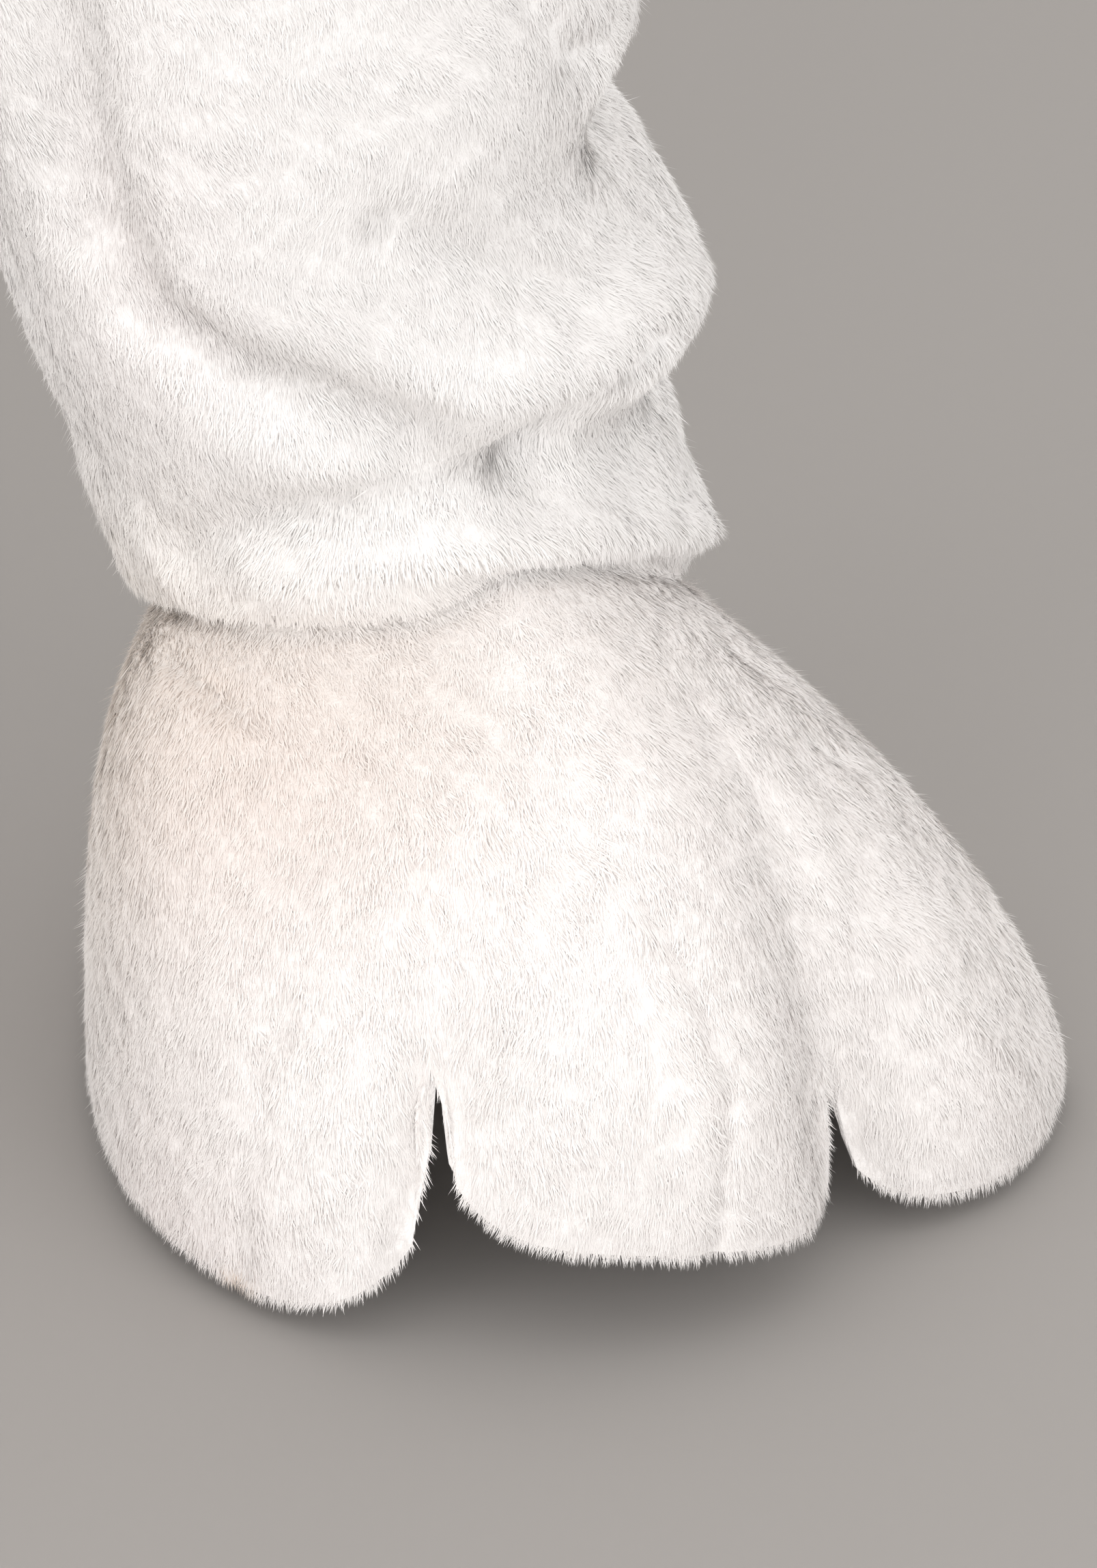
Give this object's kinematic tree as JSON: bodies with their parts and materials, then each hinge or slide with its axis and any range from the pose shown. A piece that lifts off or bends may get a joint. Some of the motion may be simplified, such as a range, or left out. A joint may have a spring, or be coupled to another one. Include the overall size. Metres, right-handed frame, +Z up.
{
  "type": "rabbit mascot costume",
  "caption": "Hollow white plush rabbit costume in a standing, worn pose: suit, head with upright ears, mitts, tail and big three-toed foot covers.",
  "frame": {"origin": "middle of the neck base, at the height of the wearer's shoulders, 1.43 m above the floor that the foot covers just clear", "axes": "+Z up, -Y the way the rabbit faces, +X to the wearer's left; the costume mirrors in X = 0"},
  "size_m": [1.2462, 0.508, 2.0479],
  "materials": {
    "plush": "long soft pile, matt",
    "pink_plush": "short soft pile, matt",
    "nose": "velvet",
    "eye": "polished black"
  },
  "bodies": {
    "root": {"bodice_back_left": "plush", "bodice_back_right": "plush", "bodice_front": "plush", "ear_left": "plush", "ear_lining_left": "pink_plush", "ear_lining_right": "pink_plush", "ear_right": "plush", "eye_left": "eye", "eye_right": "eye", "foot_inner_left": "plush", "foot_inner_right": "plush", "foot_outer_left": "plush", "foot_outer_right": "plush", "head_left": "plush", "head_right": "plush", "mitt_back_left": "plush", "mitt_back_right": "plush", "mitt_palm_left": "plush", "mitt_palm_right": "plush", "mitt_thumb_left": "plush", "mitt_thumb_right": "plush", "muzzle": "plush", "nose": "nose", "sleeve_left": "plush", "sleeve_right": "plush", "tail": "plush", "trouser_back_left": "plush", "trouser_back_right": "plush", "trouser_front_left": "plush", "trouser_front_right": "plush"}
  },
  "joints": []
}
